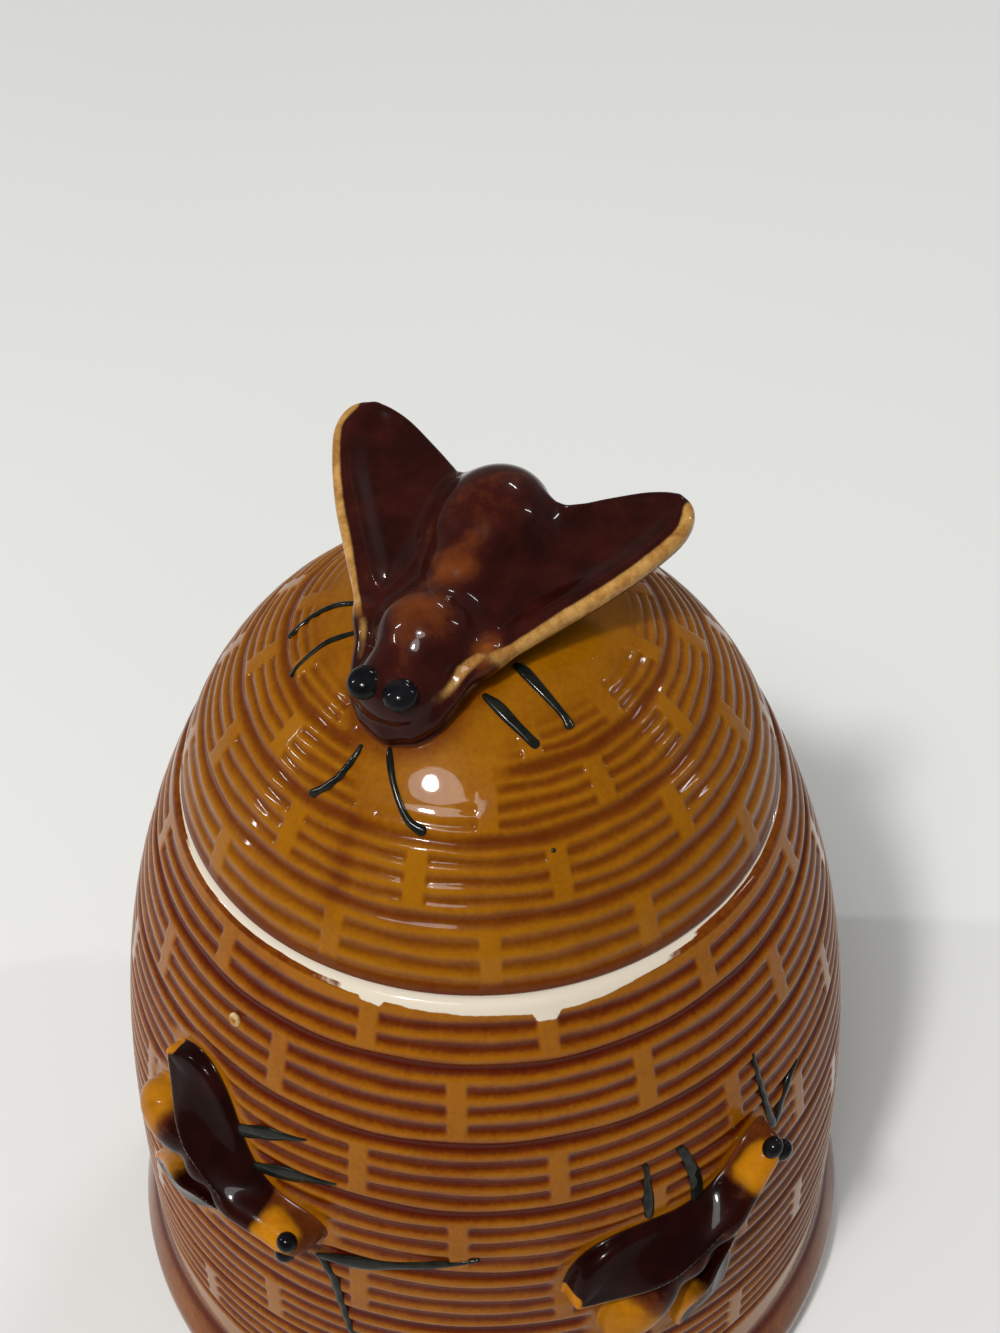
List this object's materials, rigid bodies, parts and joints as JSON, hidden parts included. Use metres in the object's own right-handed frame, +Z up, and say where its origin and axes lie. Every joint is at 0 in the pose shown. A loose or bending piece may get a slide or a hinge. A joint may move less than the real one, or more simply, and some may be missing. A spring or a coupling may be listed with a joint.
{
  "type": "honey pot with lift-off lid",
  "caption": "Beehive-shaped glazed ceramic honey pot with coiled courses, relief bees on the wall and a lift-off domed lid whose knob is a sculpted bee.",
  "frame": {"origin": "centre of the foot, on the surface it stands on", "axes": "+Z up through the lid, the front of the pot faces -Y, the knob bee's head points to the front left"},
  "size_m": [0.1124, 0.1124, 0.1429],
  "materials": {
    "amber_glaze": "gloss",
    "honey_glaze": "gloss",
    "dark_glaze": "gloss"
  },
  "bodies": {
    "pot": {"pot_body": "amber_glaze"},
    "lid": {"lid_dome": "honey_glaze", "lid_bee": "dark_glaze"}
  },
  "joints": [
    {"name": "lid_lift", "type": "slide", "parent": "pot", "child": "lid", "axis": [0, 0, 1], "range_m": [0, 0.08]}
  ]
}
